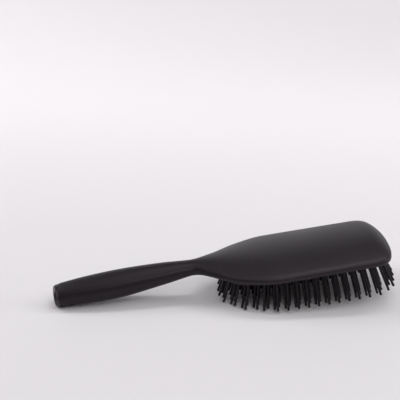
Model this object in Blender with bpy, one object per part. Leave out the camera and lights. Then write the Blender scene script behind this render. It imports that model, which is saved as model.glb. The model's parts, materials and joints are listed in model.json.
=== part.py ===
"""Cushioned paddle hair brush: a two-part body, a plugged handle end, a domed rubber pad and ball-tipped pins.

In the brush's own frame X runs from the handle's end to the head's end, Y runs across, and Z runs from the
rim towards the back. The rim's underside is at Z = 0. An empty tilts the brush onto its pins and its handle's
end, as it lies on a table. The pins stand in bands of the pad, and each band slides along the brush's own Z.
"""
import math

import bmesh
import bpy
from mathutils import Euler, Vector

# Whole brush
LENGTH = 0.2408
SEAM = 0.0003                   # gap between neighbouring pieces
OVERRUN = 0.0020                # how far a cutter passes what it cuts

# Handle, from its end to the neck
NECK_AT = 0.0987
HANDLE_HALF_WIDTH = 0.0118
HANDLE_HALF_HEIGHT = 0.00985
NECK_AXIS_HEIGHT = 0.00576      # the handle's centre line above the rim's plane, at the neck
HANDLE_PLACE_SHARES = (0.0, 0.04, 0.42, 0.78, 1.0)
HANDLE_WIDTH_SHARES = (0.755, 0.802, 1.0, 0.833, 0.64)
HANDLE_HEIGHT_SHARES = (0.733, 0.816, 1.0, 0.769, 0.531)
HANDLE_AXIS_SHARES = (0.089, 0.312, 0.487, 0.839, 1.0)
CREASE_ANGLE = math.radians(33.0)       # the parting line's place round the handle, above its widest point

# Head, from the neck to its end
HEAD_HALF_WIDTH = 0.03807
HEAD_END_DEPTH = 0.0174         # length over which the head's end rounds off
HEAD_PLACE_SHARES = (0.12, 0.27, 0.47, 0.75, 1.0)
HEAD_WIDTH_SHARES = (0.457, 0.815, 1.011, 1.006, 0.995)
NECK_BLEND_SHARE = 0.28         # part of the head over which the handle's section turns into the head's
END_POWER = 2.63
SIDE_BAND_HEIGHT = 0.0035       # rim to parting line
EDGE_LIP = 0.00085              # rounded corner between the side and the back
EDGE_POWER = 40.0               # how sharply that corner turns along the sides
CROWN_HEIGHT = 0.0056
CROWN_POWER = 2.1
CROWN_END_DEPTH = 0.0118        # length over which the crown falls to the head's end
CROWN_END_POWER = 1.97
CROWN_END_LOSS = 0.69           # share of the crown that is lost there before its round edge
END_DROP = 0.0016               # how much the side band and the back come down at the head's end
END_DROP_DEPTH = 0.0082
RIM_ROUND = 0.0008
UNDER_WIDTH_SHARES = (1.0, 1.005, 1.003, 0.991, 0.972, 0.90, 0.65, 0.33, 0.0)
UNDER_HEIGHT_SHARES = (1.0, 0.62, 0.26, 0.07, 0.0, 0.0, 0.0, 0.0, 0.0)
SHELL_WALL = 0.0016
SHELL_BORDER = 0.0036           # outline to the hollow, so that the back traps the pad's flange

# Opening and rim lip that hold the pad
CAVITY_INSET = 0.0020           # thickness of the head's side wall
RIM_BORDER = 0.0034             # outline to opening
RIM_LIP = 0.0016                # thickness of the ledge under the pad's flange
PAD_START_SHARE = 0.163         # part of the head's straight length before the opening
PAD_START_ROUND = 0.0140

# Rubber pad
FLANGE_THICKNESS = 0.0009
PAD_NECK_WALL = 0.0012          # wall of the pad's border where it passes the opening
PAD_LIP_WALL = 0.0004           # the same at its outer edge, flared to leave the leaning pins room
PAD_LIP_DEPTH = 0.0012
PAD_RECESS = 0.0002             # the pad's edge above the rim's plane
PAD_CROWN = 0.0010
BAND_THICKNESS = 0.0010

# Pins, in pairs of rows that curve towards the handle at the sides
ROW_PITCH = 0.0067
LAST_BAND_DEPTH = 0.0033        # last band's middle to the field's end
ROW_PAIR = 0.0023               # distance between the two rows of a pair
ROW_SAG = 0.0058                # how far a row curves back from the middle to the side
PIN_SPACING = 0.0063            # wanted distance in a row, which the field's width rounds
PIN_SIDE_ROOM = 0.00137         # outermost pins to the field's side, where the field is widest
PIN_EDGE = 0.0011               # pin centre to the edge of its band
PIN_LENGTH = 0.0233
PIN_RADIUS = 0.00095
PIN_ROOT = 0.0006               # sunk in the pad
BALL_RADIUS = 0.00115
FAN_ANGLE = math.radians(17.5)          # lean of the outermost pins to the side
PIN_PLACE_SHARES = (0.0, 0.08, 0.20, 0.35, 0.60, 0.80, 0.90, 0.96, 1.0)
PIN_LENGTH_SHARES = (0.87, 0.88, 0.925, 0.965, 1.0, 1.0, 0.99, 0.96, 0.93)
LEAN_DEGREES = (-27.0, -21.0, -11.0, -4.0, 2.0, 7.0, 12.0, 20.0, 30.0)

# End cap with its plug
CAP_THICKNESS = 0.0026
CAP_PLACE_SHARES = (0.0, 0.14, 0.40, 1.0)
CAP_SIZE_SHARES = (0.84, 0.94, 0.985, 1.0)
PLUG_LENGTH = 0.0090
PLUG_HALF_WIDTH = 0.0050
PLUG_HALF_HEIGHT = 0.0042
PLUG_TIP_SHARE = 0.88
PLUG_END_ROOM = 0.0006

# Locating pegs between the halves of the handle
PEG_PLACE_SHARES = (0.34, 0.70)
PEG_RADIUS = 0.0013
PEG_HEIGHT = 0.0026
PEG_ROOT = 0.0015

# Mesh counts
BACK_SEGMENTS = 16
HANDLE_STATIONS = 12
HEAD_STATIONS = 14
END_STATIONS = 8
LAST_END_SHARE = 0.93           # the last station, as a share of the quarter turn round the head's end
LOOP_HALF_SEGMENTS = 24
CEILING_SEGMENTS = 8
ROUND_SEGMENTS = 24
PEG_SEGMENTS = 12
BAND_SEGMENTS = 6
END_LINE_SHARE = 0.94           # how far the outermost lines of the first and last bands reach to the sides
PIN_SIDES = 3
SEARCH_STEPS = 40
SHARP_ANGLE = math.radians(35.0)
MOST_TILT = math.radians(20.0)

HEAD_SPAN = LENGTH - HEAD_END_DEPTH - NECK_AT
FIELD_INSET = RIM_BORDER + SEAM + PAD_NECK_WALL + SEAM
PAD_START = NECK_AT + PAD_START_SHARE * HEAD_SPAN
PAD_REACH = HEAD_HALF_WIDTH - FIELD_INSET
FIELD_START = PAD_START + FIELD_INSET - RIM_BORDER
FIELD_LENGTH = LENGTH - FIELD_INSET - FIELD_START
BAND_COUNT = round((FIELD_LENGTH - LAST_BAND_DEPTH) / ROW_PITCH)
FIRST_BAND_AT = LENGTH - FIELD_INSET - LAST_BAND_DEPTH - (BAND_COUNT - 1) * ROW_PITCH
HALF_ROW_STEPS = round((PAD_REACH - PIN_SIDE_ROOM) / PIN_SPACING)
PIN_STEP = (PAD_REACH - PIN_SIDE_ROOM) / HALF_ROW_STEPS
HANDLE_PLACES = [share * NECK_AT for share in HANDLE_PLACE_SHARES]
WIDTH_PLACES = HANDLE_PLACES + [NECK_AT + share * HEAD_SPAN for share in HEAD_PLACE_SHARES]
WIDTHS = [share * HANDLE_HALF_WIDTH for share in HANDLE_WIDTH_SHARES]
WIDTHS += [share * HEAD_HALF_WIDTH for share in HEAD_WIDTH_SHARES]


def clamp(value):
    return min(max(value, 0.0), 1.0)


def mix(a, b, share):
    return a + (b - a) * share


def smooth(places, values, x):
    """Cubic curve through the points that keeps rising and falling stretches as they are."""
    if x <= places[0]:
        return values[0]
    if x >= places[-1]:
        return values[-1]
    runs = [b - a for a, b in zip(places, places[1:])]
    slopes = [(b - a) / run for a, b, run in zip(values, values[1:], runs)]
    tangents = [slopes[0]]
    for before, after in zip(slopes, slopes[1:]):
        tangents.append(0.0 if before * after <= 0.0 else 2.0 * before * after / (before + after))
    tangents.append(slopes[-1])
    i = max(k for k, place in enumerate(places[:-1]) if place <= x)
    t = (x - places[i]) / runs[i]
    h = runs[i]
    return (values[i] * (1 + 2 * t) * (1 - t) ** 2 + h * tangents[i] * t * (1 - t) ** 2
            + values[i + 1] * t * t * (3 - 2 * t) + h * tangents[i + 1] * t * t * (t - 1))


def end_factor(x, end, depth):
    """Share of the full width that is left where the head's end rounds off."""
    s = clamp((x - (end - depth)) / depth)
    return (1.0 - s ** END_POWER) ** (1.0 / END_POWER)


def straight_half_width(x):
    return smooth(WIDTH_PLACES, WIDTHS, x)


def body_half_width(x):
    return straight_half_width(x) * end_factor(x, LENGTH, HEAD_END_DEPTH)


def body_half_height(x):
    return HANDLE_HALF_HEIGHT * smooth(HANDLE_PLACES, HANDLE_HEIGHT_SHARES, x)


def axis_height(x):
    return NECK_AXIS_HEIGHT * smooth(HANDLE_PLACES, HANDLE_AXIS_SHARES, x)


def head_share(x):
    """0 in the handle, 1 in the head."""
    s = clamp((x - NECK_AT) / (NECK_BLEND_SHARE * HEAD_SPAN))
    return s * s * (3.0 - 2.0 * s)


def side_height(x):
    return SIDE_BAND_HEIGHT - END_DROP * clamp((x - LENGTH + END_DROP_DEPTH) / END_DROP_DEPTH) ** 2


def head_back_height(x, across):
    """Height of the head's back at a share of its half-width."""
    lip_fall = math.sqrt(1.0 - clamp((x - LENGTH + EDGE_LIP) / EDGE_LIP) ** 2)
    crown_fall = 1.0 - CROWN_END_LOSS * clamp((x - LENGTH + CROWN_END_DEPTH) / CROWN_END_DEPTH) ** CROWN_END_POWER
    lip = EDGE_LIP * (1.0 - abs(across) ** EDGE_POWER) * lip_fall
    return side_height(x) + lip + CROWN_HEIGHT * (1.0 - abs(across) ** CROWN_POWER) * crown_fall * lip_fall


def handle_point(x, angle):
    y = body_half_width(x) * math.cos(angle)
    return y, axis_height(x) + body_half_height(x) * math.sin(angle)


def parting_height(x):
    return mix(handle_point(x, CREASE_ANGLE)[1], side_height(x), head_share(x))


def back_point(x, share):
    """Point on the back, from the parting line at +Y (share 0) over the top to -Y (share 1)."""
    handle_y, handle_z = handle_point(x, mix(CREASE_ANGLE, math.pi - CREASE_ANGLE, share))
    across = math.cos(math.pi * share)
    k = head_share(x)
    y = mix(handle_y, body_half_width(x) * across, k)
    return y, mix(handle_z, head_back_height(x, across), k)


def under_points(x):
    """Points of the lower half, from the parting line at +Y under the brush to -Y."""
    widths = UNDER_WIDTH_SHARES + tuple(-share for share in reversed(UNDER_WIDTH_SHARES[:-1]))
    heights = UNDER_HEIGHT_SHARES + tuple(reversed(UNDER_HEIGHT_SHARES[:-1]))
    q = clamp((x - LENGTH + RIM_ROUND) / RIM_ROUND)
    rim = RIM_ROUND * (1.0 - math.sqrt(1.0 - q * q))
    k = head_share(x)
    points = []
    for i, (width, height) in enumerate(zip(widths, heights)):
        angle = mix(CREASE_ANGLE, -math.pi - CREASE_ANGLE, i / (len(widths) - 1))
        handle_y, handle_z = handle_point(x, angle)
        head_z = mix(rim, side_height(x), height)
        points.append((mix(handle_y, body_half_width(x) * width, k), mix(handle_z, head_z, k)))
    return points


def back_height(x, y):
    """Height of the brush's back at a place, read between points of its section."""
    section = [back_point(x, i / ROUND_SEGMENTS) for i in range(ROUND_SEGMENTS + 1)]
    for (y0, z0), (y1, z1) in zip(section, section[1:]):
        if y1 <= y <= y0:
            return mix(z0, z1, (y0 - y) / max(y0 - y1, SEAM * SEAM))
    return section[0][1]


def body_stations():
    """Places along the brush for the body's sections, closer together at its curved ends."""
    first = CAP_THICKNESS + SEAM
    stations = [mix(first, NECK_AT, i / HANDLE_STATIONS) for i in range(HANDLE_STATIONS)]
    end_start = LENGTH - HEAD_END_DEPTH
    stations += [mix(NECK_AT, end_start, i / HEAD_STATIONS) for i in range(HEAD_STATIONS)]
    for i in range(END_STATIONS + 1):
        turn = LAST_END_SHARE * i / END_STATIONS * math.pi / 2.0
        stations.append(end_start + HEAD_END_DEPTH * math.sin(turn))
    return stations


def pad_half_width(x, inset):
    """Half-width at x of the pad's outline, drawn in from the head's outline by inset."""
    start = PAD_START + inset - RIM_BORDER
    s = clamp((x - start) / PAD_START_ROUND)
    start_factor = math.sqrt(1.0 - (1.0 - s) ** 2)
    end = end_factor(x, LENGTH - inset, HEAD_END_DEPTH - inset)
    return (straight_half_width(x) - inset) * start_factor * end


def pad_places(inset):
    """Places along the pad's outline, closer together at its two ends."""
    start = PAD_START + inset - RIM_BORDER
    turns = [math.pi * i / LOOP_HALF_SEGMENTS for i in range(LOOP_HALF_SEGMENTS + 1)]
    return [mix(start, LENGTH - inset, (1.0 - math.cos(turn)) / 2.0) for turn in turns]


def pad_loop(inset, z):
    """Closed loop round the pad at one inset and height."""
    places = pad_places(inset)
    side = [(x, pad_half_width(x, inset), z) for x in places]
    other = [(x, -y, height) for x, y, height in reversed(side[1:-1])]
    return side + other


def pad_surface(x, y):
    """Height of the pad's outer face, which is below the rim."""
    along = 2.0 * clamp((x - FIELD_START) / FIELD_LENGTH) - 1.0
    return PAD_RECESS - PAD_CROWN * (1.0 - along ** 2) * (1.0 - clamp(abs(y) / PAD_REACH) ** 2)


def row_x(centre, y):
    return centre - ROW_SAG * (y / PAD_REACH) ** 2


def search(test, low, high):
    """The place between low and high where the test stops being true."""
    for _ in range(SEARCH_STEPS):
        middle = (low + high) / 2.0
        if test(middle):
            low = middle
        else:
            high = middle
    return low


def mesh_object(name, mesh, material, parent, origin=(0.0, 0.0, 0.0)):
    """Turn a bmesh in the brush's frame into an object whose origin is at the given place."""
    bmesh.ops.translate(mesh, verts=mesh.verts, vec=-Vector(origin))
    bmesh.ops.recalc_face_normals(mesh, faces=mesh.faces)
    bmesh.ops.triangulate(mesh, faces=mesh.faces)
    data = bpy.data.meshes.new(name)
    mesh.to_mesh(data)
    mesh.free()
    thing = bpy.data.objects.new(name, data)
    bpy.context.scene.collection.objects.link(thing)
    if material:
        data.materials.append(material)
    thing.parent = parent
    thing.location = origin
    return thing


def loft(rings):
    """Closed body through rings of the same number of points, with a face at each end."""
    mesh = bmesh.new()
    loops = [[mesh.verts.new(point) for point in ring] for ring in rings]
    for first, second in zip(loops, loops[1:]):
        for i in range(len(first)):
            j = (i + 1) % len(first)
            mesh.faces.new((first[i], first[j], second[j], second[i]))
    mesh.faces.new(loops[0])
    mesh.faces.new(loops[-1])
    return mesh


def swept_ring(loops):
    """Closed ring whose section is the list of loops, joined last to first."""
    mesh = bmesh.new()
    verts = [[mesh.verts.new(point) for point in loop] for loop in loops]
    for first, second in zip(verts, verts[1:] + verts[:1]):
        for i in range(len(first)):
            j = (i + 1) % len(first)
            mesh.faces.new((first[i], first[j], second[j], second[i]))
    return mesh


def combine(target, tool, operation):
    """Apply one Boolean of the tool to the target and delete the tool."""
    cut = target.modifiers.new(operation.lower(), "BOOLEAN")
    cut.operation = operation
    cut.solver = "EXACT"
    cut.object = tool
    graph = bpy.context.evaluated_depsgraph_get()
    result = bpy.data.meshes.new_from_object(target.evaluated_get(graph))
    target.modifiers.clear()
    old = target.data
    target.data = result
    result.name = target.name
    bpy.data.meshes.remove(old)
    bpy.data.objects.remove(tool)


def ellipse_ring(x, centre_z, half_width, half_height):
    turns = [2.0 * math.pi * i / ROUND_SEGMENTS for i in range(ROUND_SEGMENTS)]
    return [(x, half_width * math.cos(t), centre_z + half_height * math.sin(t)) for t in turns]


def peg_mesh(x, bottom, top, radius):
    turns = [2.0 * math.pi * i / PEG_SEGMENTS for i in range(PEG_SEGMENTS)]
    return loft([[(x + radius * math.cos(t), radius * math.sin(t), z) for t in turns] for z in (bottom, top)])


def plug_bore(parent):
    """Cutter for the hole that the end cap's plug sits in."""
    centre = axis_height(CAP_THICKNESS)
    ends = (CAP_THICKNESS - OVERRUN, CAP_THICKNESS + PLUG_LENGTH + PLUG_END_ROOM)
    rings = [ellipse_ring(x, centre, PLUG_HALF_WIDTH + SEAM, PLUG_HALF_HEIGHT + SEAM) for x in ends]
    return mesh_object("plug_bore_cutter", loft(rings), None, parent)


def build_back_shell(material, parent):
    """The back: the head's crown, hollow below, and the top of the handle."""
    rings = []
    for x in body_stations():
        parting = parting_height(x)
        floor = parting + SEAM / 2.0
        points = [back_point(x, i / BACK_SEGMENTS) for i in range(BACK_SEGMENTS + 1)]
        top = max(z for _, z in points)
        rings.append([(x, y, mix(floor, top, (z - parting) / (top - parting))) for y, z in points])
    shell = mesh_object("back_shell", loft(rings), material, parent)
    hollow = []
    for x in pad_places(SHELL_BORDER)[1:-1]:
        half = pad_half_width(x, SHELL_BORDER)
        ys = [half * math.cos(math.pi * i / CEILING_SEGMENTS) for i in range(CEILING_SEGMENTS + 1)]
        floor = RIM_LIP
        ring = [(x, y, max(back_height(x, y) - SHELL_WALL, floor + SEAM)) for y in ys]
        hollow.append(ring + [(x, -half, floor), (x, half, floor)])
    combine(shell, mesh_object("hollow_cutter", loft(hollow), None, parent), "DIFFERENCE")
    combine(shell, plug_bore(parent), "DIFFERENCE")
    for share in PEG_PLACE_SHARES:
        x = share * NECK_AT
        level = parting_height(x)
        socket = peg_mesh(x, level - OVERRUN, level + PEG_HEIGHT + SEAM, PEG_RADIUS + SEAM)
        combine(shell, mesh_object("socket_cutter", socket, None, parent), "DIFFERENCE")
    return shell


def build_front_frame(material, parent):
    """The lower half of the handle and the head's side band, with the opening for the pad."""
    rings = []
    for x in body_stations():
        roof = parting_height(x) - SEAM / 2.0
        rings.append([(x, y, min(z, roof)) for y, z in under_points(x)])
    frame = mesh_object("front_frame", loft(rings), material, parent)
    opening = loft([pad_loop(RIM_BORDER, z) for z in (-OVERRUN, RIM_LIP + OVERRUN / 2.0)])
    combine(frame, mesh_object("opening_cutter", opening, None, parent), "DIFFERENCE")
    cavity = loft([pad_loop(CAVITY_INSET, z) for z in (RIM_LIP, NECK_AXIS_HEIGHT + HANDLE_HALF_HEIGHT)])
    combine(frame, mesh_object("cavity_cutter", cavity, None, parent), "DIFFERENCE")
    combine(frame, plug_bore(parent), "DIFFERENCE")
    for share in PEG_PLACE_SHARES:
        x = share * NECK_AT
        level = parting_height(x)
        peg = peg_mesh(x, level - PEG_ROOT, level + PEG_HEIGHT, PEG_RADIUS)
        combine(frame, mesh_object("peg", peg, None, parent), "UNION")
    return frame


def build_end_cap(material, parent):
    """Cap with a flat end face and a rounded edge, and its plug, as one piece."""
    centre = axis_height(CAP_THICKNESS)
    half_width = body_half_width(CAP_THICKNESS)
    half_height = body_half_height(CAP_THICKNESS)
    rings = []
    for place, size in zip(CAP_PLACE_SHARES, CAP_SIZE_SHARES):
        rings.append(ellipse_ring(place * CAP_THICKNESS, centre, size * half_width, size * half_height))
    for length, size in ((0.0, 1.0), (PLUG_LENGTH, PLUG_TIP_SHARE)):
        x = CAP_THICKNESS + length
        rings.append(ellipse_ring(x, centre, size * PLUG_HALF_WIDTH, size * PLUG_HALF_HEIGHT))
    return mesh_object("handle_end_cap", loft(rings), material, parent)


def build_cushion_rim(material, parent):
    """Border of the rubber pad: a flange on the frame's ledge and a neck down through the opening."""
    flange_floor = RIM_LIP + SEAM
    flange_roof = flange_floor + FLANGE_THICKNESS
    neck = RIM_BORDER + SEAM
    inner = neck + PAD_NECK_WALL
    section = (
        (CAVITY_INSET + SEAM, flange_floor),
        (CAVITY_INSET + SEAM, flange_roof),
        (inner, flange_roof),
        (inner, PAD_RECESS + PAD_LIP_DEPTH),
        (neck + PAD_LIP_WALL, PAD_RECESS),
        (neck, PAD_RECESS),
        (neck, flange_floor),
    )
    return mesh_object("cushion_rim", swept_ring([pad_loop(*place) for place in section]), material, parent)


def band_ends(index):
    """Centre-line places of the band's long edges, with one between them where a band ends on the outline."""
    centre = FIRST_BAND_AT + index * ROW_PITCH
    half = (ROW_PITCH - SEAM) / 2.0
    if index in (0, BAND_COUNT - 1):
        return centre - half, centre, centre + half
    return centre - half, centre + half


def band_reach(line):
    """How far a band's curved line runs to the side before it meets the pad's border."""
    return search(lambda y: pad_half_width(row_x(line, y), FIELD_INSET) > y, 0.0, HEAD_HALF_WIDTH)


def field_limit(y, near_neck):
    """Place along the brush where the pin field's outline crosses y, at its neck end or its far end."""
    middle = (PAD_START + LENGTH) / 2.0
    outside = PAD_START if near_neck else LENGTH
    return search(lambda x: pad_half_width(x, FIELD_INSET) > abs(y), middle, outside)


def band_lines(index):
    """Lines of a band as lists of (x, y). The first and last bands end on the field's outline."""
    lines = []
    for line in band_ends(index):
        reach = band_reach(line)
        ys = [reach * math.cos(math.pi * i / BAND_SEGMENTS) for i in range(BAND_SEGMENTS + 1)]
        lines.append([(row_x(line, y), y) for y in ys])
    ys = [END_LINE_SHARE * y for _, y in lines[1]]
    if index == 0:
        lines[0] = [(field_limit(y, True), y) for y in ys]
    if index == BAND_COUNT - 1:
        lines[2] = [(field_limit(y, False), y) for y in ys]
    return lines


def pin_places(index):
    """Roots of a band's pins: the row nearer the handle is set half a space aside of the other."""
    centre = FIRST_BAND_AT + index * ROW_PITCH
    most = HALF_ROW_STEPS + 1
    places = []
    for row, shift in ((centre - ROW_PAIR / 2.0, 0.5), (centre + ROW_PAIR / 2.0, 0.0)):
        for j in range(-most, most + 1):
            y = (j + shift) * PIN_STEP
            x = row_x(row, y)
            if abs(y) < pad_half_width(x, FIELD_INSET + PIN_EDGE):
                places.append((x, y))
    return places


def pin_line(x, y):
    """Root on the pad's face, direction and length of one pin."""
    along = (x - FIELD_START) / FIELD_LENGTH
    lean = math.radians(smooth(PIN_PLACE_SHARES, LEAN_DEGREES, along))
    fan = FAN_ANGLE * y / PAD_REACH
    direction = Vector((math.tan(lean), math.tan(fan), -1.0)).normalized()
    length = PIN_LENGTH * smooth(PIN_PLACE_SHARES, PIN_LENGTH_SHARES, along)
    return Vector((x, y, pad_surface(x, y))), direction, length


def pins_mesh(places):
    """Ball-tipped pins, each a tapered shaft that swells into its tip."""
    mesh = bmesh.new()
    for place in places:
        root, direction, length = pin_line(*place)
        side = direction.cross(Vector((0.0, 1.0, 0.0))).normalized()
        other = direction.cross(side)
        profile = ((-PIN_ROOT, PIN_RADIUS), (length - 2.0 * BALL_RADIUS, PIN_RADIUS),
                   (length - BALL_RADIUS, BALL_RADIUS))
        turns = [2.0 * math.pi * i / PIN_SIDES for i in range(PIN_SIDES)]
        rings = []
        for along, radius in profile:
            rings.append([mesh.verts.new(root + direction * along + side * radius * math.cos(t)
                                         + other * radius * math.sin(t)) for t in turns])
        for vert in rings[0]:
            vert.co += direction * (root.z + PIN_ROOT - vert.co.z) / direction.z
        tip = mesh.verts.new(root + direction * length)
        mesh.faces.new(rings[0])
        for first, second in zip(rings, rings[1:]):
            for i in range(PIN_SIDES):
                j = (i + 1) % PIN_SIDES
                mesh.faces.new((first[i], first[j], second[j], second[i]))
        for i in range(PIN_SIDES):
            mesh.faces.new((rings[-1][i], rings[-1][(i + 1) % PIN_SIDES], tip))
    return mesh


def build_band(index, material, parent):
    """One band of the pad with its pair of pin rows."""
    lines = band_lines(index)
    mesh = bmesh.new()
    outer = [[mesh.verts.new((x, y, pad_surface(x, y))) for x, y in line] for line in lines]
    inner = [[mesh.verts.new((x, y, pad_surface(x, y) + BAND_THICKNESS)) for x, y in line] for line in lines]
    for sheet in (outer, inner):
        for first, second in zip(sheet, sheet[1:]):
            for i in range(BAND_SEGMENTS):
                mesh.faces.new((first[i], first[i + 1], second[i + 1], second[i]))
    border = list(outer[0])
    border += [line[-1] for line in outer[1:-1]] + list(reversed(outer[-1])) + [line[0] for line in outer[-2:0:-1]]
    top = list(inner[0])
    top += [line[-1] for line in inner[1:-1]] + list(reversed(inner[-1])) + [line[0] for line in inner[-2:0:-1]]
    for i in range(len(border)):
        j = (i + 1) % len(border)
        mesh.faces.new((border[i], border[j], top[j], top[i]))
    origin = (FIRST_BAND_AT + index * ROW_PITCH, 0.0, 0.0)
    band = mesh_object(f"pin_band_{index + 1:02d}", mesh, material, parent, origin)
    places = pin_places(index)
    combine(band, mesh_object("pins", pins_mesh(places), None, parent), "UNION")
    return places


def finish(name, colour, roughness):
    """Principled material of one sub-part."""
    material = bpy.data.materials.new(name)
    material.use_nodes = True
    shader = material.node_tree.nodes["Principled BSDF"]
    shader.inputs["Base Color"].default_value = (*colour, 1.0)
    shader.inputs["Roughness"].default_value = roughness
    shader.inputs["Metallic"].default_value = 0.0
    return material


def resting_tilt(handle_points, tips):
    """Angle that brings the handle's end and the lowest pin tips onto one level."""
    def handle_is_higher(angle):
        lowest = [min(p.x * math.sin(angle) + p.z * math.cos(angle) for p in points)
                  for points in (handle_points, tips)]
        return lowest[0] > lowest[1]
    return search(handle_is_higher, 0.0, MOST_TILT)


def main():
    for thing in list(bpy.data.objects):
        bpy.data.objects.remove(thing)
    pose = bpy.data.objects.new("brush_pose", None)
    bpy.context.scene.collection.objects.link(pose)

    plastic = (0.028, 0.026, 0.027)
    build_back_shell(finish("back_plastic", plastic, 0.55), pose)
    build_front_frame(finish("frame_plastic", plastic, 0.55), pose)
    build_end_cap(finish("cap_plastic", (0.020, 0.019, 0.021), 0.30), pose)
    build_cushion_rim(finish("rim_rubber", (0.018, 0.018, 0.019), 0.75), pose)
    pin_black = finish("pin_black", (0.012, 0.012, 0.013), 0.40)
    places = []
    for index in range(BAND_COUNT):
        places += build_band(index, pin_black, pose)

    tips = []
    for place in places:
        root, direction, length = pin_line(*place)
        tips.append(root + direction * length)
    bodies = [thing for thing in bpy.data.objects if thing.type == "MESH"]
    for thing in bodies:
        thing.data.shade_smooth()
        thing.data.set_sharp_from_angle(angle=SHARP_ANGLE)
    solid = [vert.co + thing.location for thing in bodies for vert in thing.data.vertices]
    handle = [point for point in solid if point.x < NECK_AT]
    tilt = resting_tilt(handle, tips)
    turn = Euler((0.0, -tilt, 0.0)).to_matrix()
    placed = [turn @ point for point in solid]
    xs = [point.x for point in placed]
    pose.rotation_euler = (0.0, -tilt, 0.0)
    pose.location = (-(min(xs) + max(xs)) / 2.0, 0.0, -min(point.z for point in placed))
    bpy.context.view_layer.update()
    print(f"pins {len(places)}, tilt {math.degrees(tilt):.4f} degrees, pose at {tuple(pose.location)}")


main()
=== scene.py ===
"""Dresses the hair brush's solids: smooth shells, a rubber pad, ball-tipped pins and a pale studio.

Shapes are worked out in the brush's own frame, where X runs from the handle's end to the head's end,
Y across and Z from the rim to the back. The pose that the record gives then turns them into the row frame.
"""
import json
import math
import random

import bmesh
import bpy
from mathutils import Euler, Matrix, Vector


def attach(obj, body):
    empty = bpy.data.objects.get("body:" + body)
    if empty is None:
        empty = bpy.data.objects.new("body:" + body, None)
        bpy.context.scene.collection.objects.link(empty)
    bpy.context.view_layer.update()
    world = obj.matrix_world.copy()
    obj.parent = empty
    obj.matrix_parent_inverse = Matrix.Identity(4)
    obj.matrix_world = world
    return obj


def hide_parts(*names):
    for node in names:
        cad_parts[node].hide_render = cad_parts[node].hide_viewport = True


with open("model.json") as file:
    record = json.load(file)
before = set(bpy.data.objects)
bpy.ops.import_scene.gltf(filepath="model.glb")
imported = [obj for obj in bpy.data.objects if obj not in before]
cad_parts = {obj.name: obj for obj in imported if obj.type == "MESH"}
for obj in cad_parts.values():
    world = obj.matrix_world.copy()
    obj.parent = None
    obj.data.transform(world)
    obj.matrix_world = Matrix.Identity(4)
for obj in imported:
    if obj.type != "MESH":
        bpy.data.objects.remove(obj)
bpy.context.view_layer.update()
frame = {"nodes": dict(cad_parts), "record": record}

# Sizes shared with the solids, in metres: outline of the body
LENGTH = 0.2408
SEAM = 0.0003
NECK_AT = 0.0987
HANDLE_HALF_WIDTH = 0.0118
HANDLE_HALF_HEIGHT = 0.00985
NECK_AXIS_HEIGHT = 0.00576
HANDLE_PLACE_SHARES = (0.0, 0.04, 0.42, 0.78, 1.0)
HANDLE_WIDTH_SHARES = (0.755, 0.802, 1.0, 0.833, 0.64)
HANDLE_HEIGHT_SHARES = (0.733, 0.816, 1.0, 0.769, 0.531)
HANDLE_AXIS_SHARES = (0.089, 0.312, 0.487, 0.839, 1.0)
CREASE_ANGLE = math.radians(33.0)
HEAD_HALF_WIDTH = 0.03807
HEAD_END_DEPTH = 0.0174
HEAD_PLACE_SHARES = (0.12, 0.27, 0.47, 0.75, 1.0)
HEAD_WIDTH_SHARES = (0.457, 0.815, 1.011, 1.006, 0.995)
NECK_BLEND_SHARE = 0.28
END_POWER = 2.63
CAP_THICKNESS = 0.0026

# Sizes shared with the solids: crown, side band and rim
SIDE_BAND_HEIGHT = 0.0035
EDGE_LIP = 0.00085
EDGE_POWER = 40.0
CROWN_HEIGHT = 0.0056
CROWN_POWER = 2.1
CROWN_END_DEPTH = 0.0118
CROWN_END_POWER = 1.97
CROWN_END_LOSS = 0.69
END_DROP = 0.0016
END_DROP_DEPTH = 0.0082
RIM_ROUND = 0.0008
UNDER_WIDTH_SHARES = (1.0, 1.005, 1.003, 0.991, 0.972, 0.90, 0.65, 0.33, 0.0)
UNDER_HEIGHT_SHARES = (1.0, 0.62, 0.26, 0.07, 0.0, 0.0, 0.0, 0.0, 0.0)

# Sizes shared with the solids: pad and pins
RIM_BORDER = 0.0034
PAD_START_SHARE = 0.163
PAD_START_ROUND = 0.0140
PAD_NECK_WALL = 0.0012
PAD_RECESS = 0.0002
PAD_CROWN = 0.0010
BAND_THICKNESS = 0.0010
ROW_PITCH = 0.0067
LAST_BAND_DEPTH = 0.0033
ROW_PAIR = 0.0023
ROW_SAG = 0.0058
PIN_SPACING = 0.0063
PIN_EDGE = 0.0011
PIN_LENGTH = 0.0233
PIN_ROOT = 0.0006
FAN_ANGLE = math.radians(17.5)
PIN_PLACE_SHARES = (0.0, 0.08, 0.20, 0.35, 0.60, 0.80, 0.90, 0.96, 1.0)
PIN_LENGTH_SHARES = (0.87, 0.88, 0.925, 0.965, 1.0, 1.0, 0.99, 0.96, 0.93)
LEAN_DEGREES = (-27.0, -21.0, -11.0, -4.0, 2.0, 7.0, 12.0, 20.0, 30.0)

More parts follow.
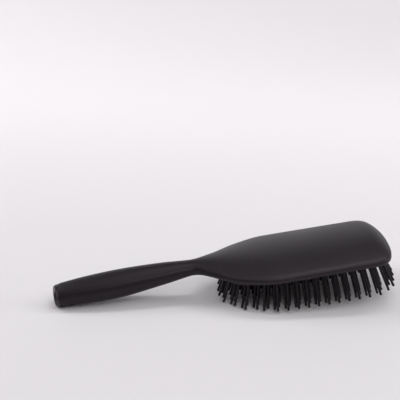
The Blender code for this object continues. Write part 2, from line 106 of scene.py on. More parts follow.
# Sizes of this scene alone
FINE_SEAM = 0.00010             # open width of the moulded joints
SEAM_BEVEL = 0.00008            # chamfer along both sides of the parting line
BEVEL_HEIGHT_SHARE = 0.3        # most that the chamfer takes of a thin shell's height
BEVEL_WIDTH_SHARE = 0.5         # most that it takes of a narrow shell's half width
MOUTH_ROUND = 0.0005            # rounding of the opening's lower edge
CUTTER_OVERRUN = 0.0020
PAD_EDGE_ROUND = 0.0016         # over which the pad's skin turns up at its border
PAD_EDGE_RISE = 0.0007
BORDER_EDGE = 0.00455           # from the head's outline to the strips of skin that sink with the pins
BORDER_SHARES = (0.0, 0.06, 0.18, 0.36, 0.62, 1.0)  # places of the border's loops over its width
STRIP_REACH_SHARE = 0.998       # of the way to the point where a strip runs out
SHAFT_RADIUS = 0.00094
SHAFT_TIP_RADIUS = 0.00086
PIN_FOOT = ((-PIN_ROOT, 0.0), (-PIN_ROOT, 0.00125), (0.0, 0.00125), (0.00045, 0.0010528),
            (0.00126, SHAFT_RADIUS))  # height and radius of the moulded foot, up to the shaft
TIP_RADIUS = 0.00100            # ball at a pin's end
LEAN_JITTER = math.radians(0.25)
LEAN_SEED = 11
CAP_SHOULDER = 0.0017           # where the cap starts to turn in, and how far it turns in
CAP_LEDGE = -0.00082            # end of that shoulder
CAP_PLUG = ((-0.00095, 0.0040), (-0.00094, 0.0031), (-0.00089, 0.0025), (-0.00074, 0.00215),
            (-0.00048, 0.0020), (-0.00048, 0.00185))  # place and inset of the crowned plug and its groove
CAP_BORE = 0.0029
FLOOR_DROP = 0.00007            # the smooth handle bulges this far below the solids' flats
MERGE_GAP = 1e-7
SHARP_ANGLE = math.radians(38.0)

# Fineness of the meshes
HANDLE_RINGS, HEAD_RINGS, END_RINGS = 44, 48, 26
LAST_TURN_SHARE = 0.985         # of the quarter turn in which the rings close up on the head's end
BACK_SEGMENTS = 56
UNDER_SEGMENTS = 80
MOUTH_STEPS = 5
LOOP_PLACES = 72
CAP_SEGMENTS = 72
CAP_STEPS = 10
STRIP_RINGS = 40
STRIP_FACES = 6
PIN_SIDES = 10
BALL_STEPS = 6
SEARCH_STEPS = 24

# Places and sizes worked out from those above
HEAD_SPAN = LENGTH - HEAD_END_DEPTH - NECK_AT
FIELD_INSET = RIM_BORDER + SEAM + PAD_NECK_WALL + SEAM
PAD_START = NECK_AT + PAD_START_SHARE * HEAD_SPAN
PAD_REACH = HEAD_HALF_WIDTH - FIELD_INSET
FIELD_START = PAD_START + FIELD_INSET - RIM_BORDER
FIELD_LENGTH = LENGTH - FIELD_INSET - FIELD_START
BAND_COUNT = round((FIELD_LENGTH - LAST_BAND_DEPTH) / ROW_PITCH)
FIRST_BAND_AT = LENGTH - FIELD_INSET - LAST_BAND_DEPTH - (BAND_COUNT - 1) * ROW_PITCH
HANDLE_PLACES = [share * NECK_AT for share in HANDLE_PLACE_SHARES]
WIDTH_PLACES = HANDLE_PLACES + [NECK_AT + share * HEAD_SPAN for share in HEAD_PLACE_SHARES]
WIDTHS = [share * HANDLE_HALF_WIDTH for share in HANDLE_WIDTH_SHARES]
WIDTHS += [share * HEAD_HALF_WIDTH for share in HEAD_WIDTH_SHARES]

# Studio, in metres and watts
SWEEP_HALF_WIDTH = 3.0
SWEEP_FRONT = -3.0
BEND_START = 0.55
BEND_RADIUS = 0.55
BEND_STEPS = 24
WALL_TOP = 0.7
SWEEP_COLOUR = (0.80, 0.774, 0.80)
BRUSH_CENTRE = (0.0, 0.0, 0.0)
LIGHTS = (  # name, place, aim, width and height, power, spread in degrees
    ("overhead", (0.0, -0.35, 1.50), BRUSH_CENTRE, (1.4, 0.8), 4.2, 180.0),
    ("front", (0.2, -1.2, 1.2), BRUSH_CENTRE, (1.4, 0.8), 9.5, 180.0),
    ("left", (-1.3, 0.6, 0.9), BRUSH_CENTRE, (0.9, 0.9), 12.5, 180.0),
    ("right", (1.5, -0.3, 0.8), BRUSH_CENTRE, (0.9, 0.9), 8.0, 180.0),
    ("wall", (0.7, 0.45, 1.7), (0.7, 1.1, 0.4), (1.8, 0.4), 12.5, 180.0),
    ("distance", (0.30, 0.55, 0.85), (0.25, 0.42, 0.0), (2.0, 0.15), 0.5, 55.0),
)
AIR_COLOUR = (0.97, 0.96, 0.98, 1.0)
AIR_STRENGTH = 0.05
CAMERA_PLACE = (-0.082831, -0.620822, 0.313071)
CAMERA_AZIMUTH = math.radians(6.0817)
CAMERA_ELEVATION = math.radians(20.9488)
CAMERA_ROLL = math.radians(1.2836)
PICTURE_PIXELS = 400.0
FOCAL_PIXELS = 956.72
SENSOR_MILLIMETRES = 36.0
CAMERA_REACH = (0.01, 20.0)     # nearest and furthest place that it sees


# Curves of the brush

def clamp(value):
    return min(max(value, 0.0), 1.0)


def mix(a, b, share):
    return a + (b - a) * share


def smooth(places, values, x):
    """Cubic curve through the points that keeps rising and falling stretches as they are."""
    if x <= places[0]:
        return values[0]
    if x >= places[-1]:
        return values[-1]
    runs = [b - a for a, b in zip(places, places[1:])]
    slopes = [(b - a) / run for a, b, run in zip(values, values[1:], runs)]
    tangents = [slopes[0]]
    for before, after in zip(slopes, slopes[1:]):
        tangents.append(0.0 if before * after <= 0.0 else 2.0 * before * after / (before + after))
    tangents.append(slopes[-1])
    i = max(k for k, place in enumerate(places[:-1]) if place <= x)
    run = runs[i]
    t = (x - places[i]) / run
    return (values[i] * (1 + 2 * t) * (1 - t) ** 2 + run * tangents[i] * t * (1 - t) ** 2
            + values[i + 1] * t * t * (3 - 2 * t) + run * tangents[i + 1] * t * t * (t - 1))


def search(test, low, high):
    """The last place from low towards high where the test still holds."""
    for _ in range(SEARCH_STEPS):
        middle = (low + high) / 2.0
        if test(middle):
            low = middle
        else:
            high = middle
    return low


def end_factor(x, end, depth):
    s = clamp((x - (end - depth)) / depth)
    return (1.0 - s ** END_POWER) ** (1.0 / END_POWER)


def body_half_width(x):
    return smooth(WIDTH_PLACES, WIDTHS, x) * end_factor(x, LENGTH, HEAD_END_DEPTH)


def body_half_height(x):
    return HANDLE_HALF_HEIGHT * smooth(HANDLE_PLACES, HANDLE_HEIGHT_SHARES, x)


def axis_height(x):
    return NECK_AXIS_HEIGHT * smooth(HANDLE_PLACES, HANDLE_AXIS_SHARES, x)


def head_share(x):
    """0 on the handle, 1 on the head, smooth over the neck."""
    s = clamp((x - NECK_AT) / (NECK_BLEND_SHARE * HEAD_SPAN))
    return s * s * (3.0 - 2.0 * s)


def side_height(x):
    return SIDE_BAND_HEIGHT - END_DROP * clamp((x - LENGTH + END_DROP_DEPTH) / END_DROP_DEPTH) ** 2


def head_back_height(x, across):
    lip_fall = math.sqrt(1.0 - clamp((x - LENGTH + EDGE_LIP) / EDGE_LIP) ** 2)
    end_share = clamp((x - LENGTH + CROWN_END_DEPTH) / CROWN_END_DEPTH)
    crown_fall = 1.0 - CROWN_END_LOSS * end_share ** CROWN_END_POWER
    lip = EDGE_LIP * (1.0 - abs(across) ** EDGE_POWER) * lip_fall
    return side_height(x) + lip + CROWN_HEIGHT * (1.0 - abs(across) ** CROWN_POWER) * crown_fall * lip_fall


def handle_point(x, angle):
    return body_half_width(x) * math.cos(angle), axis_height(x) + body_half_height(x) * math.sin(angle)


def parting_height(x):
    return mix(handle_point(x, CREASE_ANGLE)[1], side_height(x), head_share(x))


def back_point(x, share):
    """Point on the back, from the parting line at +Y (share 0) over the top to -Y (share 1)."""
    handle_y, handle_z = handle_point(x, mix(CREASE_ANGLE, math.pi - CREASE_ANGLE, share))
    across = math.cos(math.pi * share)
    k = head_share(x)
    return mix(handle_y, body_half_width(x) * across, k), mix(handle_z, head_back_height(x, across), k)


def under_point(x, share):
    """Point on the lower half, from the parting line at +Y (share 0) under the brush to -Y (share 1)."""
    side = 1.0 if share <= 0.5 else -1.0
    places = [i / (len(UNDER_WIDTH_SHARES) - 1) for i in range(len(UNDER_WIDTH_SHARES))]
    at = 2.0 * min(share, 1.0 - share)
    width = side * smooth(places, UNDER_WIDTH_SHARES, at)
    height = smooth(places, UNDER_HEIGHT_SHARES, at)
    q = clamp((x - LENGTH + RIM_ROUND) / RIM_ROUND)
    rim = RIM_ROUND * (1.0 - math.sqrt(1.0 - q * q))
    handle_y, handle_z = handle_point(x, mix(CREASE_ANGLE, -math.pi - CREASE_ANGLE, share))
    k = head_share(x)
    return mix(handle_y, body_half_width(x) * width, k), mix(handle_z, mix(rim, side_height(x), height), k)


def body_stations():
    """Places of the shells' rings along the brush, closer together towards the head's end."""
    stations = [mix(CAP_THICKNESS + SEAM, NECK_AT, i / HANDLE_RINGS) for i in range(HANDLE_RINGS)]
    end_start = LENGTH - HEAD_END_DEPTH
    stations += [mix(NECK_AT, end_start, i / HEAD_RINGS) for i in range(HEAD_RINGS)]
    for i in range(END_RINGS + 1):
        angle = LAST_TURN_SHARE * i / END_RINGS * math.pi / 2.0
        stations.append(end_start + HEAD_END_DEPTH * math.sin(angle))
    return stations


def pad_half_width(x, inset):
    """Half the width of the outline that lies inset inside the head's, or 0 beyond its ends."""
    start = PAD_START + inset - RIM_BORDER
    s = clamp((x - start) / PAD_START_ROUND)
    start_factor = math.sqrt(1.0 - (1.0 - s) ** 2)
    end = end_factor(x, LENGTH - inset, HEAD_END_DEPTH - inset)
    return (smooth(WIDTH_PLACES, WIDTHS, x) - inset) * start_factor * end


def pad_loop(inset, height):
    """Closed outline inside the head's, as a list of points at one height."""
    start = PAD_START + inset - RIM_BORDER
    turns = [math.pi * i / LOOP_PLACES for i in range(LOOP_PLACES + 1)]
    places = [mix(start, LENGTH - inset, (1.0 - math.cos(angle)) / 2.0) for angle in turns]
    side = [(x, pad_half_width(x, inset), height) for x in places]
    return side + [(x, -y, z) for x, y, z in reversed(side[1:-1])]


def pad_surface(x, y):
    along = 2.0 * clamp((x - FIELD_START) / FIELD_LENGTH) - 1.0
    return PAD_RECESS - PAD_CROWN * (1.0 - along ** 2) * (1.0 - clamp(abs(y) / PAD_REACH) ** 2)


def row_x(centre, y):
    """Place along a curved row that crosses the brush's middle at centre."""
    return centre - ROW_SAG * (y / PAD_REACH) ** 2


# Pose of the brush, from the record: the joints slide along the brush's Z, and the mount is its end face
slide = Vector(frame["record"]["behaviour"]["joints"][0]["axis"])
tilt = math.atan2(-slide.x, slide.z)
turn = Euler((0.0, -tilt, 0.0)).to_matrix()
face_centre = Vector((0.0, 0.0, axis_height(CAP_THICKNESS)))
mount_place = Vector(frame["record"]["mounts"][0]["pos_m"])
POSE = Matrix.Translation(mount_place - turn @ face_centre) @ turn.to_4x4()


# Meshes, pieces and nodes

def plain_object(name, mesh):
    """Turn a bmesh into an object at the origin, with its faces outwards."""
    bmesh.ops.recalc_face_normals(mesh, faces=mesh.faces)
    data = bpy.data.meshes.new(name)
    mesh.to_mesh(data)
    mesh.free()
    thing = bpy.data.objects.new(name, data)
    bpy.context.scene.collection.objects.link(thing)
    return thing


def posed_object(name, mesh, body, slot, *nodes):
    """Turn a bmesh in the brush's frame into a piece that rides on a body."""
    thing = plain_object(name, mesh)
    thing.data.transform(POSE)
    return register(thing, body, slot, *nodes)


def register(thing, body, slot, *nodes):
    """Shade a piece and say which body it rides on and the solids that it stands in for; the slot is not
    used.
    """
    thing.data.shade_smooth()
    thing.data.set_sharp_from_angle(angle=SHARP_ANGLE)
    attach(thing, body)
    if nodes:
        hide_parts(*nodes)
    return thing


def loft(rings, closed_ends=True):
    """Body through rings of the same number of points, with UVs: U along, V around."""
    mesh = bmesh.new()
    loops = [[mesh.verts.new(point) for point in ring] for ring in rings]
    layer = mesh.loops.layers.uv.new("UVMap")
    count = len(rings[0])
    for k, (first, second) in enumerate(zip(loops, loops[1:])):
        for i in range(count):
            j = (i + 1) % count
            face = mesh.faces.new((first[i], first[j], second[j], second[i]))
            spots = ((k, i), (k, i + 1), (k + 1, i + 1), (k + 1, i))
            for corner, (a, b) in zip(face.loops, spots):
                corner[layer].uv = (a / (len(rings) - 1), b / count)
    if closed_ends:
        mesh.faces.new(loops[0])
        mesh.faces.new(loops[-1])
    return mesh


def turned_shape(name, profile):
    """Solid of revolution about Z through (height, radius) pairs; the first and last may be on the axis."""
    mesh = bmesh.new()
    angles = [2 * math.pi * i / PIN_SIDES for i in range(PIN_SIDES)]
    rings = []
    for height, radius in profile:
        if radius == 0.0:
            rings.append([mesh.verts.new((0.0, 0.0, height))])
        else:
            circle = [(radius * math.cos(a), radius * math.sin(a), height) for a in angles]
            rings.append([mesh.verts.new(point) for point in circle])
    for first, second in zip(rings, rings[1:]):
        for i in range(PIN_SIDES):
            j = (i + 1) % PIN_SIDES
            corners = [first[i % len(first)], first[j % len(first)]]
            corners += [second[j % len(second)], second[i % len(second)]]
            mesh.faces.new(list(dict.fromkeys(corners)))
    return plain_object(name, mesh)


def cut(target, tool):
    """Subtract the tool from the target and delete the tool."""
    step = target.modifiers.new("cut", "BOOLEAN")
    step.operation = "DIFFERENCE"
    step.solver = "EXACT"
    step.object = tool
    graph = bpy.context.evaluated_depsgraph_get()
    result = bpy.data.meshes.new_from_object(target.evaluated_get(graph))
    target.modifiers.clear()
    target.data = result
    bpy.data.objects.remove(tool)


def add_node(tree, kind, sockets, **settings):
    """Add a node with its settings, then the values of its sockets or the links into them."""
    made = tree.nodes.new(kind)
    for key, value in settings.items():
        setattr(made, key, value)
    for key, value in sockets.items():
        if isinstance(value, bpy.types.NodeSocket):
            tree.links.new(value, made.inputs[key])
        else:
            made.inputs[key].default_value = value
    return made


# Shells

def build_back():
    """Crowned back and top of the handle, chamfered along the parting line."""
    rings = []
    for x in body_stations():
        parting = parting_height(x)
        floor = parting + FINE_SEAM / 2.0
        points = [back_point(x, i / BACK_SEGMENTS) for i in range(BACK_SEGMENTS + 1)]
        half_width = points[0][0]
        top = max(z for _, z in points)
        bevel = min(SEAM_BEVEL, BEVEL_HEIGHT_SHARE * (top - floor))
        edge = half_width - min(bevel, BEVEL_WIDTH_SHARE * half_width)
        ring = [(x, edge, floor)]
        for y, z in points:
            raised = mix(floor, top, (z - parting) / (top - parting))
            ring.append((x, y, max(raised, floor + bevel)))
        rings.append(ring + [(x, -edge, floor)])
    return posed_object("back_skin", loft(rings), "body", "body_plastic", "back_shell")


def mouth_loops():
    """Outlines of the opening that the pad shows in, from below the rim up through the shell."""
    loops = [pad_loop(RIM_BORDER - MOUTH_ROUND, height) for height in (-CUTTER_OVERRUN, -SEAM / 2.0)]
    for i in range(MOUTH_STEPS + 1):
        a = i / MOUTH_STEPS * math.pi / 2.0
        inset = RIM_BORDER - MOUTH_ROUND * (1.0 - math.sin(a))
        loops.append(pad_loop(inset, MOUTH_ROUND * (1.0 - math.cos(a))))
    return loops + [pad_loop(RIM_BORDER, NECK_AXIS_HEIGHT + HANDLE_HALF_HEIGHT)]


def build_frame():
    """Lower half of the handle with the head's side band, and the rounded mouth that the pad shows in."""
    rings = []
    for x in body_stations():
        roof = parting_height(x) - FINE_SEAM / 2.0
        points = [under_point(x, i / UNDER_SEGMENTS) for i in range(UNDER_SEGMENTS + 1)]
        half_width = points[0][0]
        bevel = min(SEAM_BEVEL, BEVEL_HEIGHT_SHARE * (roof - min(z for _, z in points)))
        edge = half_width - min(bevel, BEVEL_WIDTH_SHARE * half_width)
        ring = [(x, y, min(z, roof - bevel)) for y, z in points]
        rings.append([(x, edge, roof)] + ring + [(x, -edge, roof)])
    shell = plain_object("frame_skin", loft(rings))
    cut(shell, plain_object("mouth_cutter", loft(mouth_loops())))
    shell.data.transform(POSE)
    return register(shell, "body", "body_plastic", "front_frame")


def build_cap():
    """End disc with a rounded shoulder and a slightly crowned plug inside a fine groove."""
    centre = axis_height(CAP_THICKNESS)
    half_width = body_half_width(CAP_THICKNESS)
    half_height = body_half_height(CAP_THICKNESS)
    profile = list(CAP_PLUG)
    for i in range(CAP_STEPS + 1):
        a = i / CAP_STEPS * math.pi / 2.0
        profile.append((mix(CAP_SHOULDER, CAP_LEDGE, math.cos(a)), CAP_SHOULDER * (1.0 - math.sin(a))))
    back = CAP_THICKNESS + SEAM - FINE_SEAM
    profile += [(back - SEAM_BEVEL, 0.0), (back, SEAM_BEVEL), (back, CAP_BORE)]
    angles = [2.0 * math.pi * i / CAP_SEGMENTS for i in range(CAP_SEGMENTS)]
    rings = []
    for x, inset in profile:
        rings.append([(x, (half_width - inset) * math.cos(a), centre + (half_height - inset) * math.sin(a))
                      for a in angles])
    return posed_object("cap_skin", loft(rings), "body", "cap_plastic", "handle_end_cap")


# Pad

def build_border():
    """Border of the rubber skin round the pins, turned up where it goes under the rim."""
    outer = RIM_BORDER + SEAM
    width = BORDER_EDGE - FINE_SEAM - outer
    loops = []
    for share in BORDER_SHARES:
        near = 1.0 - share * width / PAD_EDGE_ROUND
        rise = PAD_EDGE_RISE * (1.0 - math.sqrt(1.0 - near * near))
        outline = pad_loop(outer + share * width, rise)
        loops.append([(x, y, pad_surface(x, y) + height) for x, y, height in outline])
    for loop in (loops[-1], loops[0]):
        loops.append([(x, y, z + BAND_THICKNESS) for x, y, z in loop])
    mesh = loft(loops + loops[:1], closed_ends=False)
    bmesh.ops.remove_doubles(mesh, verts=mesh.verts, dist=MERGE_GAP)
    thing = posed_object("cushion_skin", mesh, "body", "pad_rubber", "cushion_rim")
    return thing


def inside_border(start, anchor, y):
    """The place nearest to start, on the way to anchor, where the skin inside the border is wider than y."""
    share = search(lambda s: pad_half_width(mix(anchor, start, s), BORDER_EDGE) > abs(y), 0.0, 1.0)
    return mix(anchor, start, share)


def build_strip(index):
    """Skin round one band's pins, between two curved lines, so that it sinks with them."""
    half = (ROW_PITCH - FINE_SEAM) / 2.0
    centre = FIRST_BAND_AT + index * ROW_PITCH
    to_neck = index < BAND_COUNT // 2
    inner_line = centre + half if to_neck else centre - half
    reach = search(lambda y: pad_half_width(row_x(inner_line, y), BORDER_EDGE) > y, 0.0, HEAD_HALF_WIDTH)
    rings = []
    for i in range(STRIP_RINGS + 1):
        y = STRIP_REACH_SHARE * reach * math.sin(math.pi * (i / STRIP_RINGS - 0.5))
        low, high = row_x(centre - half, y), row_x(centre + half, y)
        if index == 0:
            low = PAD_START + BORDER_EDGE - RIM_BORDER
        if index == BAND_COUNT - 1:
            high = LENGTH - BORDER_EDGE
        if to_neck:
            low = inside_border(low, high, y)
        else:
            high = inside_border(high, low, y)
        places = [mix(low, high, k / STRIP_FACES) for k in range(STRIP_FACES + 1)]
        face = [(x, y, pad_surface(x, y)) for x in places]
        rings.append(face + [(x, y, z + BAND_THICKNESS) for x, y, z in (face[-1], face[0])])
    thing = posed_object(f"pad_{index + 1:02d}", loft(rings), f"band_{index + 1:02d}", "pad_rubber")
    return thing


# Pins

def pin_places(index):
    """Roots of a band's pins: the row nearer the handle is set half a space aside of the other."""
    centre = FIRST_BAND_AT + index * ROW_PITCH
    most = int(HEAD_HALF_WIDTH / PIN_SPACING) + 1
    places = []
    for row, shift in ((centre - ROW_PAIR / 2.0, 0.5), (centre + ROW_PAIR / 2.0, 0.0)):
        for j in range(-most, most + 1):
            y = (j + shift) * PIN_SPACING
            x = row_x(row, y)
            if abs(y) < pad_half_width(x, FIELD_INSET + PIN_EDGE):
                places.append((x, y))
    return places


def pin_line(x, y):
    """Root of a pin on the pad, its lean along and fan across the brush, and its length."""
    along = (x - FIELD_START) / FIELD_LENGTH
    lean = math.radians(smooth(PIN_PLACE_SHARES, LEAN_DEGREES, along))
    fan = FAN_ANGLE * y / PAD_REACH
    length = PIN_LENGTH * smooth(PIN_PLACE_SHARES, PIN_LENGTH_SHARES, along)
    return Vector((x, y, pad_surface(x, y))), lean, fan, length


def pin_tree(material):
    """Node tree that sets a shaft on each point and a ball at its far end, as one mesh."""
    tree = bpy.data.node_groups.new("pin_rows", "GeometryNodeTree")
    face = tree.interface
    face.new_socket("Points", in_out="INPUT", socket_type="NodeSocketGeometry")
    face.new_socket("Shaft", in_out="INPUT", socket_type="NodeSocketObject")
    face.new_socket("Ball", in_out="INPUT", socket_type="NodeSocketObject")
    face.new_socket("Mesh", in_out="OUTPUT", socket_type="NodeSocketGeometry")
    source = add_node(tree, "NodeGroupInput", {})

    def attribute(name):
        made = add_node(tree, "GeometryNodeInputNamedAttribute", {"Name": name}, data_type="FLOAT_VECTOR")
        return next(out for out in made.outputs if out.enabled and out.name == "Attribute")

    def placed(points, what, **sockets):
        info = add_node(tree, "GeometryNodeObjectInfo", {"Object": source.outputs[what]})
        shape = info.outputs["Geometry"]
        made = add_node(tree, "GeometryNodeInstanceOnPoints", {
            "Points": points, "Instance": shape, "Rotation": attribute("turn"), **sockets})
        return made.outputs["Instances"]

    shafts = placed(source.outputs["Points"], "Shaft", Scale=attribute("stretch"))
    moved = add_node(tree, "GeometryNodeSetPosition", {
        "Geometry": source.outputs["Points"], "Offset": attribute("reach")})
    balls = placed(moved.outputs["Geometry"], "Ball")
    joined = add_node(tree, "GeometryNodeJoinGeometry", {"Geometry": shafts})
    tree.links.new(balls, joined.inputs["Geometry"])
    real = add_node(tree, "GeometryNodeRealizeInstances", {"Geometry": joined.outputs["Geometry"]})
    painted = add_node(tree, "GeometryNodeSetMaterial", {
        "Geometry": real.outputs["Geometry"], "Material": material})
    add_node(tree, "NodeGroupOutput", {"Mesh": painted.outputs["Geometry"]})
    return tree


def pin_points(name, index, shaft_length, rng):
    """Points at the roots of a band's pins, with each pin's turn, stretch and reach as attributes."""
    roots, turns, stretches, reaches = [], [], [], []
    for place in pin_places(index):
        root, lean, fan, length = pin_line(*place)
        lean += rng.uniform(-LEAN_JITTER, LEAN_JITTER)
        fan += rng.uniform(-LEAN_JITTER, LEAN_JITTER)
        line = turn @ Vector((math.tan(lean), math.tan(fan), -1.0)).normalized()
        roots += (POSE @ root)[:]
        turns += line.to_track_quat("Z", "Y").to_euler()[:]
        stretches += (1.0, 1.0, (length - TIP_RADIUS) / shaft_length)
        reaches += (line * (length - TIP_RADIUS))[:]
    data = bpy.data.meshes.new(name)
    data.vertices.add(len(roots) // 3)
    data.vertices.foreach_set("co", roots)
    for key, values in (("turn", turns), ("stretch", stretches), ("reach", reaches)):
        data.attributes.new(key, "FLOAT_VECTOR", "POINT").data.foreach_set("vector", values)
    return data


def build_pins(material):
    """Pins of each band as one mesh that rides on the band."""
    shaft_length = PIN_LENGTH - TIP_RADIUS
    shaft = turned_shape("shaft_shape", (*PIN_FOOT, (shaft_length, SHAFT_TIP_RADIUS)))
    arc = [math.pi * i / BALL_STEPS for i in range(1, BALL_STEPS)]
    side = [(-TIP_RADIUS * math.cos(a), TIP_RADIUS * math.sin(a)) for a in arc]
    ball = turned_shape("ball_shape", ((-TIP_RADIUS, 0.0), *side, (TIP_RADIUS, 0.0)))
    tree = pin_tree(material)
    inputs = {item.name: item.identifier for item in tree.interface.items_tree if item.in_out == "INPUT"}
    rng = random.Random(LEAN_SEED)
    for index in range(BAND_COUNT):
        name = f"pins_{index + 1:02d}"
        rows = bpy.data.objects.new(name, pin_points(name, index, shaft_length, rng))
        bpy.context.scene.collection.objects.link(rows)
        step = rows.modifiers.new("rows", "NODES")
        step.node_group = tree
        step[inputs["Shaft"]] = shaft
        step[inputs["Ball"]] = ball
        graph = bpy.context.evaluated_depsgraph_get()
        baked = bpy.data.meshes.new_from_object(rows.evaluated_get(graph))
        rows.modifiers.clear()
        rows.data = baked
        register(rows, f"band_{index + 1:02d}", "pin_nylon", f"pin_band_{index + 1:02d}")
    bpy.data.objects.remove(shaft)
    bpy.data.objects.remove(ball)


# Materials

GLOSS_TINT = (1.0, 0.87, 0.99, 1.0)  # the black plastics shine slightly purple


class Value:
    """A socket of a material. Sums, differences and products with it add the nodes for them."""

    def __init__(self, finish, socket):
        self.finish, self.socket = finish, socket

    def __add__(self, other):
        return self.finish.math("ADD", self, other)

    def __sub__(self, other):
        return self.finish.math("SUBTRACT", self, other)

    def __rsub__(self, other):
        return self.finish.math("SUBTRACT", other, self)

    def __mul__(self, other):
        return self.finish.math("MULTIPLY", self, other)

    __radd__ = __add__
    __rmul__ = __mul__

    def ramp(self, low, high):
        """0 below low, 1 above high, smooth between."""
        sockets = {"Value": self, "From Min": low, "From Max": high}
        return self.finish.node("ShaderNodeMapRange", "Result", sockets, interpolation_type="SMOOTHSTEP")


class Finish:
    """One material and the patterns that its colours and gloss are made of."""

    def __init__(self, name):
        self.material = bpy.data.materials.new(name)
        self.material.use_nodes = True
        self.tree = self.material.node_tree
        self.shader = self.tree.nodes["Principled BSDF"]
        self.place = self.node("ShaderNodeTexCoord", "Object", {})

    def node(self, kind, output, sockets, **settings):
        """Add a node, with values or links for its sockets, and give one of its outputs."""
        plain = {key: value.socket if isinstance(value, Value) else value for key, value in sockets.items()}
        return Value(self, add_node(self.tree, kind, plain, **settings).outputs[output])

    def math(self, operation, a, b):
        return self.node("ShaderNodeMath", 0, {0: a, 1: b}, operation=operation)

    def along(self):
        return self.node("ShaderNodeSeparateXYZ", "X", {"Vector": self.place})

    def stretched(self, scale):
        return self.node("ShaderNodeMapping", "Vector", {"Vector": self.place, "Scale": scale})

    def noise(self, scale, detail=3.0, rough=0.55, where=None):
        sockets = {"Vector": where or self.place, "Scale": scale, "Detail": detail, "Roughness": rough}
        return self.node("ShaderNodeTexNoise", "Fac", sockets)

    def cells(self, scale):
        return self.node("ShaderNodeTexVoronoi", "Distance", {"Vector": self.place, "Scale": scale})

    def blend(self, factor, low, high):
        """Colour between two, each a Value or three numbers: sockets 6 and 7 of the node, and output 2."""
        low, high = [colour if isinstance(colour, Value) else (*colour, 1.0) for colour in (low, high)]
        return self.node("ShaderNodeMix", 2, {0: factor, 6: low, 7: high}, data_type="RGBA")

    def bump(self, height, strength, distance):
        sockets = {"Strength": strength, "Distance": distance, "Height": height}
        return self.node("ShaderNodeBump", "Normal", sockets)

    def set(self, **values):
        """Give inputs of the surface their values or links, and give the finished material."""
        for name, value in values.items():
            socket = self.shader.inputs[name.replace("_", " ")]
            if isinstance(value, Value):
                self.tree.links.new(value.socket, socket)
            else:
                socket.default_value = value
        return self.material


def body_plastic():
    """Soft-touch moulded black: fine grain, slow changes of gloss, faint handling marks and settled dust.

    The handle is darker than the head and free of dust, and its shine is broader.
    """
    f = Finish("body_moulded")
    handle_tones = (0.0022, 0.0012, 0.0017), (0.0035, 0.0022, 0.0029)
    head_tones = (0.0074, 0.0056, 0.0065), (0.0097, 0.0075, 0.0087)
    dust_tone = (0.075, 0.070, 0.072)
    grain = f.cells(2600.0)
    fine = f.noise(5200.0, 2.0)
    slow = f.noise(22.0, 4.0)
    marks = f.noise(140.0, 5.0, 0.7, f.stretched((0.25, 1.0, 1.0))).ramp(0.60, 0.74)
    dust = f.noise(900.0, 3.0, 0.6).ramp(0.66, 0.80)
    head = f.along().ramp(-0.040, 0.010)
    dusty = f.blend(dust * 0.35, f.blend(slow, *head_tones), dust_tone)
    colour = f.blend(head, f.blend(slow, *handle_tones), dusty)
    rough = 0.45 + slow * 0.08 + marks * 0.04 - head * 0.06
    height = grain * 0.6 + fine * 0.4
    return f.set(Base_Color=colour, Roughness=rough, Normal=f.bump(height, 0.16, 0.00006), IOR=1.5,
                 Specular_IOR_Level=0.37, Specular_Tint=GLOSS_TINT)


def cap_plastic():
    """Polished black with faint waviness."""
    f = Finish("cap_polished")
    slow = f.noise(60.0, 3.0)
    colour = f.blend(slow, (0.016, 0.015, 0.017), (0.023, 0.021, 0.024))
    return f.set(Base_Color=colour, Roughness=0.24 + slow * 0.1, IOR=1.5, Specular_Tint=GLOSS_TINT,
                 Normal=f.bump(f.noise(700.0, 4.0), 0.05, 0.0001))


def pad_rubber():
    """Dull black rubber with a fine grain."""
    f = Finish("pad_rubber_skin")
    grain = f.noise(1800.0, 4.0, 0.65)
    slow = f.noise(40.0, 3.0)
    colour = f.blend(slow, (0.014, 0.014, 0.015), (0.024, 0.023, 0.025))
    rough = 0.66 + slow * 0.12
    return f.set(Base_Color=colour, Roughness=rough, Normal=f.bump(grain, 0.25, 0.0001), IOR=1.5)


def pin_nylon():
    """Satin black with drawn marks along the pins."""
    f = Finish("pin_nylon_black")
    slow = f.noise(240.0, 2.0)
    drawn = f.noise(420.0, 3.0, 0.5, f.stretched((1.0, 1.0, 0.2)))
    colour = f.blend(slow, (0.0042, 0.0040, 0.0044), (0.0075, 0.0070, 0.0078))
    rough = 0.30 + drawn * 0.16
    return f.set(Base_Color=colour, Roughness=rough, Normal=f.bump(drawn, 0.08, 0.0001), IOR=1.5,
                 Specular_IOR_Level=0.3, Specular_Tint=GLOSS_TINT)


def sweep_paper():
    """Matt off-white with a very slow change of tone."""
    f = Finish("sweep_white")
    darker = tuple(channel * 0.985 for channel in SWEEP_COLOUR)
    return f.set(Base_Color=f.blend(f.noise(1.6, 2.0), SWEEP_COLOUR, darker), Roughness=0.62, IOR=1.3)


# Studio

def build_sweep():
    """Seamless pale sweep: a floor that bends up into a wall behind the brush."""
    profile = [(SWEEP_FRONT, 0.0), (BEND_START, 0.0)]
    for i in range(1, BEND_STEPS + 1):
        a = i / BEND_STEPS * math.pi / 2.0
        profile.append((BEND_START + BEND_RADIUS * math.sin(a), BEND_RADIUS * (1.0 - math.cos(a))))
    profile.append((BEND_START + BEND_RADIUS, WALL_TOP))
    mesh = bmesh.new()
    sides = (-SWEEP_HALF_WIDTH, SWEEP_HALF_WIDTH)
    pairs = [[mesh.verts.new((x, y, z - FLOOR_DROP)) for x in sides] for y, z in profile]
    for first, second in zip(pairs, pairs[1:]):
        mesh.faces.new((first[0], first[1], second[1], second[0]))
    thing = plain_object("studio_sweep", mesh)
    thing.data.shade_smooth()
    thing.data.materials.append(sweep_paper())


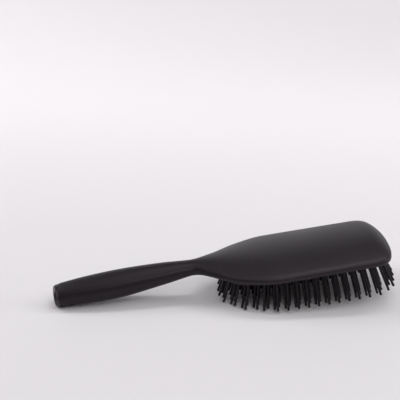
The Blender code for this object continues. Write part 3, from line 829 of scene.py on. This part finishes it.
def build_lights():
    """Large soft lights round the brush and on the wall, and a faint even light from all sides."""
    for name, place, aim, size, power, spread in LIGHTS:
        light = bpy.data.lights.new(name, "AREA")
        light.shape = "RECTANGLE"
        light.size, light.size_y = size
        light.energy = power
        light.spread = math.radians(spread)
        thing = bpy.data.objects.new(name, light)
        thing.location = place
        thing.rotation_mode = "QUATERNION"
        thing.rotation_quaternion = (Vector(aim) - Vector(place)).to_track_quat("-Z", "Y")
        bpy.context.scene.collection.objects.link(thing)
    world = bpy.data.worlds.new("studio")
    world.use_nodes = True
    air = world.node_tree.nodes["Background"]
    air.inputs["Color"].default_value = AIR_COLOUR
    air.inputs["Strength"].default_value = AIR_STRENGTH
    bpy.context.scene.world = world
    bpy.context.scene.view_settings.view_transform = "Standard"


def build_camera():
    """Camera fitted to the photo's outline of the brush, with the picture centred on its axis."""
    forward = Vector((math.sin(CAMERA_AZIMUTH) * math.cos(CAMERA_ELEVATION),
                      math.cos(CAMERA_AZIMUTH) * math.cos(CAMERA_ELEVATION),
                      -math.sin(CAMERA_ELEVATION)))
    level = Vector((math.cos(CAMERA_AZIMUTH), -math.sin(CAMERA_AZIMUTH), 0.0))
    up = level.cross(forward)
    right = level * math.cos(CAMERA_ROLL) - up * math.sin(CAMERA_ROLL)
    top = level * math.sin(CAMERA_ROLL) + up * math.cos(CAMERA_ROLL)
    camera = bpy.data.cameras.new("camera")
    camera.sensor_width = SENSOR_MILLIMETRES
    camera.lens = SENSOR_MILLIMETRES / PICTURE_PIXELS * FOCAL_PIXELS
    camera.clip_start, camera.clip_end = CAMERA_REACH
    thing = bpy.data.objects.new("camera", camera)
    axes = Matrix((right, top, -forward)).transposed()
    thing.matrix_world = Matrix.Translation(CAMERA_PLACE) @ axes.to_4x4()
    bpy.context.scene.collection.objects.link(thing)
    bpy.context.scene.camera = thing


def main():
    finishes = {"body_plastic": body_plastic(), "cap_plastic": cap_plastic(), "pad_rubber": pad_rubber(),
                "pin_nylon": pin_nylon()}
    for shell in (build_back(), build_frame()):
        shell.data.materials.clear()
        shell.data.materials.append(finishes["body_plastic"])
    build_cap().data.materials.append(finishes["cap_plastic"])
    for skin in (build_border(), *(build_strip(index) for index in range(BAND_COUNT))):
        skin.data.materials.append(finishes["pad_rubber"])
    build_pins(finishes["pin_nylon"])
    for subpart in frame["record"]["subparts"]:
        for held in frame["nodes"][subpart["node"]].material_slots:
            held.material = finishes[subpart["material_slot"]]
    build_sweep()
    build_lights()
    build_camera()


main()
